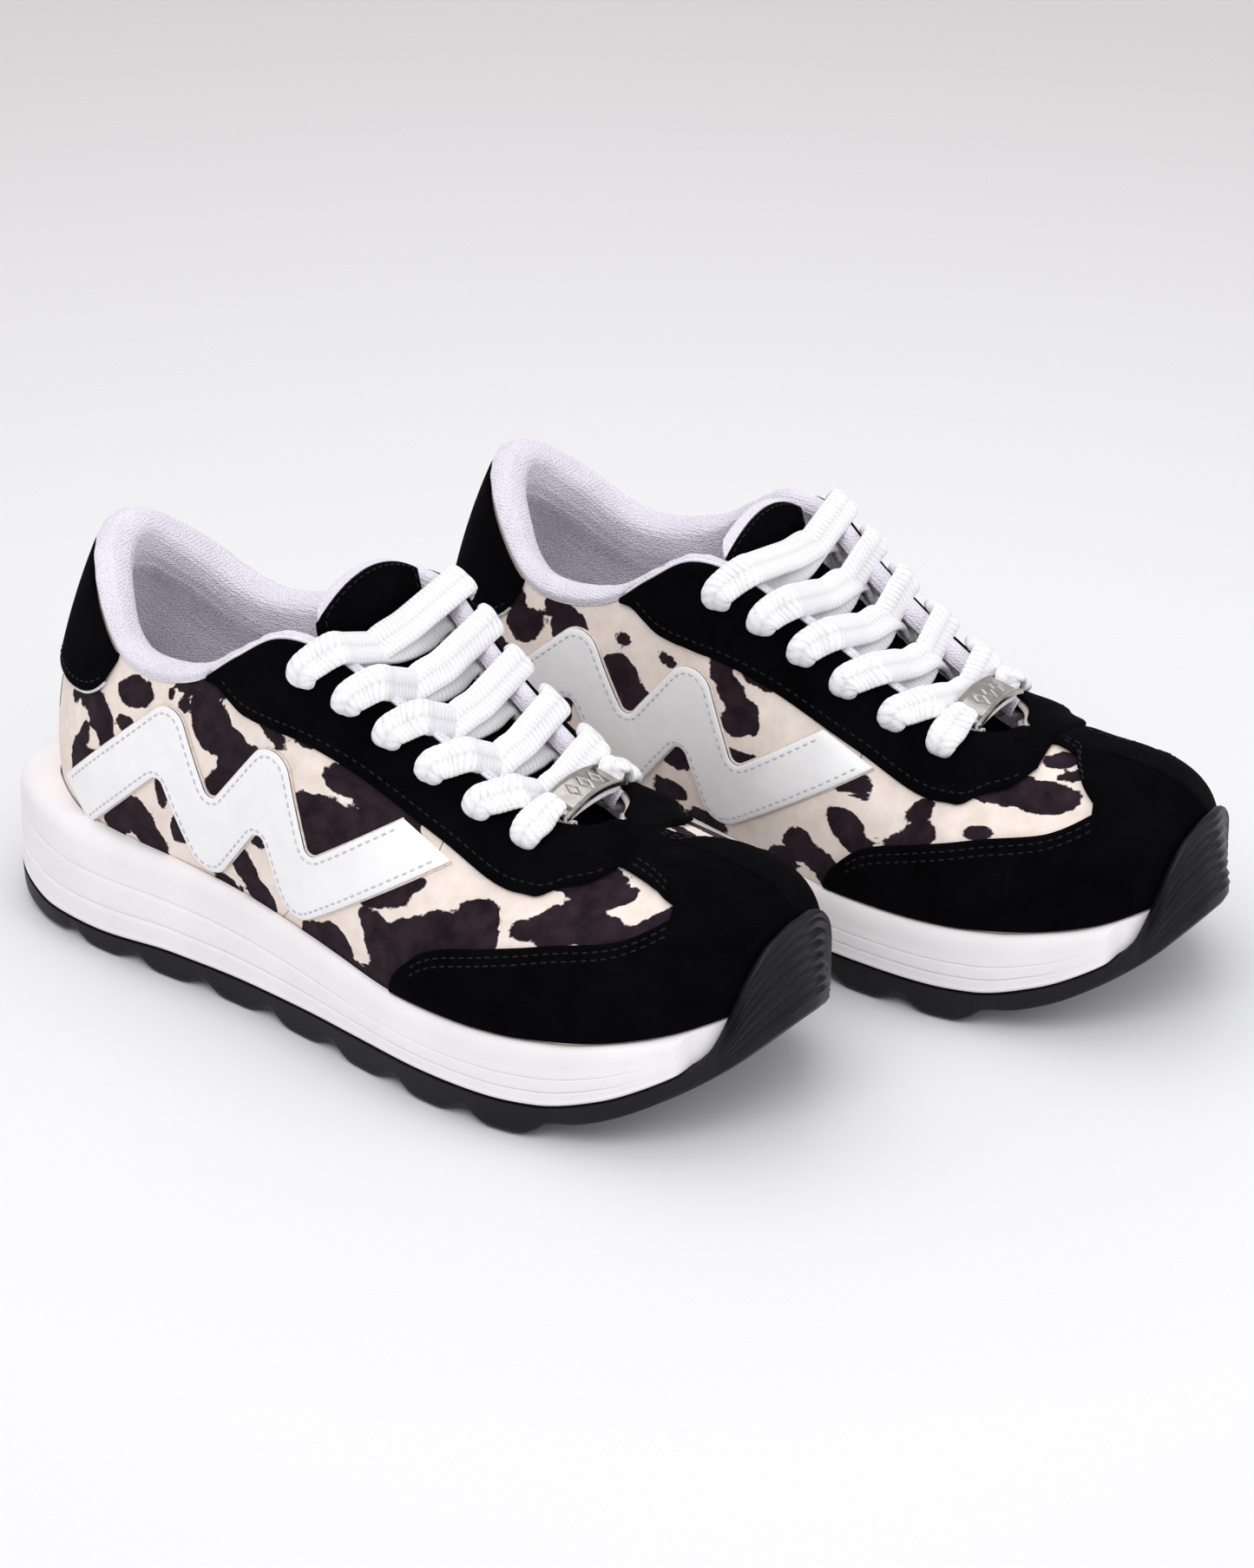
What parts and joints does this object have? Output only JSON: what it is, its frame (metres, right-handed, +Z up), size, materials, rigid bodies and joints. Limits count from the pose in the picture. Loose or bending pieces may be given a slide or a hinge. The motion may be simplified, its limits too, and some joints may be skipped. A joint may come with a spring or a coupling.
{
  "type": "cheer shoes",
  "caption": "Pair of lace-up trainers with a wavy platform sole, animal-spot printed uppers, suede trim, zigzag side bands and flat laces.",
  "frame": {"origin": "middle of the ground rectangle that holds both soles, on the ground", "axes": "+X to the toes along the right shoe, +Y from the right shoe to the left shoe, +Z up"},
  "size_m": [0.3382, 0.2364, 0.129],
  "materials": {
    "tread_rubber": "satin black moulded rubber",
    "midsole_foam": "off-white expanded foam with a fine pebble",
    "lasting_board": "pressed fibre board",
    "terry": "white looped knit",
    "printed_suede": "cream microsuede with dark irregular spots",
    "black_suede": "black napped suede",
    "white_leather": "smooth white leather",
    "stiffener": "thin formed stiffener sheet",
    "padding_foam": "soft open foam",
    "cotton_braid": "flat white cotton braid",
    "nickel": "polished nickel",
    "aglet_plastic": "clear film"
  },
  "bodies": {
    "right_shoe": {"right_outsole": "tread_rubber", "right_midsole": "midsole_foam", "right_insole_board": "lasting_board", "right_quarter_outer": "printed_suede", "right_quarter_inner": "printed_suede", "right_vamp": "printed_suede", "right_vamp_lining": "terry", "right_toe_cap": "black_suede", "right_toe_puff": "stiffener", "right_eyestay": "black_suede", "right_heel_tab": "black_suede", "right_heel_counter": "stiffener", "right_band_outer": "white_leather", "right_band_inner": "white_leather", "right_collar_lining": "terry", "right_collar_foam": "padding_foam", "right_lace": "cotton_braid", "right_lace_tag": "nickel", "right_aglet_outer": "aglet_plastic", "right_aglet_inner": "aglet_plastic"},
    "right_insole_body": {"right_insole": "terry"},
    "right_tongue_body": {"right_tongue": "black_suede", "right_tongue_lining": "terry"},
    "left_shoe": {"left_outsole": "tread_rubber", "left_midsole": "midsole_foam", "left_insole_board": "lasting_board", "left_quarter_outer": "printed_suede", "left_quarter_inner": "printed_suede", "left_vamp": "printed_suede", "left_vamp_lining": "terry", "left_toe_cap": "black_suede", "left_toe_puff": "stiffener", "left_eyestay": "black_suede", "left_heel_tab": "black_suede", "left_heel_counter": "stiffener", "left_band_outer": "white_leather", "left_band_inner": "white_leather", "left_collar_lining": "terry", "left_collar_foam": "padding_foam", "left_lace": "cotton_braid", "left_lace_tag": "nickel", "left_aglet_outer": "aglet_plastic", "left_aglet_inner": "aglet_plastic"},
    "left_insole_body": {"left_insole": "terry"},
    "left_tongue_body": {"left_tongue": "black_suede", "left_tongue_lining": "terry"}
  },
  "joints": [
    {"name": "right_insole_lift", "type": "hinge", "parent": "right_shoe", "child": "right_insole_body", "pos_m": [0.08785, -0.05895, 0.0365], "axis": [0, 1, 0], "range_deg": [0, 1.9]},
    {"name": "right_tongue_tilt", "type": "hinge", "parent": "right_shoe", "child": "right_tongue_body", "pos_m": [0.04385, -0.06005, 0.064], "axis": [0, 1, 0], "range_deg": [-8, 0], "stiffness_Nm_per_rad": 0.6},
    {"name": "left_insole_lift", "type": "hinge", "parent": "left_shoe", "child": "left_insole_body", "pos_m": [0.148, 0.06348, 0.0365], "axis": [-0.0785, 0.9969, 0], "range_deg": [0, 1.9]},
    {"name": "left_tongue_tilt", "type": "hinge", "parent": "left_shoe", "child": "left_tongue_body", "pos_m": [0.10405, 0.06112, 0.064], "axis": [-0.0785, 0.9969, 0], "range_deg": [-8, 0], "stiffness_Nm_per_rad": 0.6},
    {"name": "left_shoe_lift", "type": "slide", "parent": "right_shoe", "child": "left_shoe", "axis": [0, 0, 1], "range_m": [0, 0.15]}
  ]
}
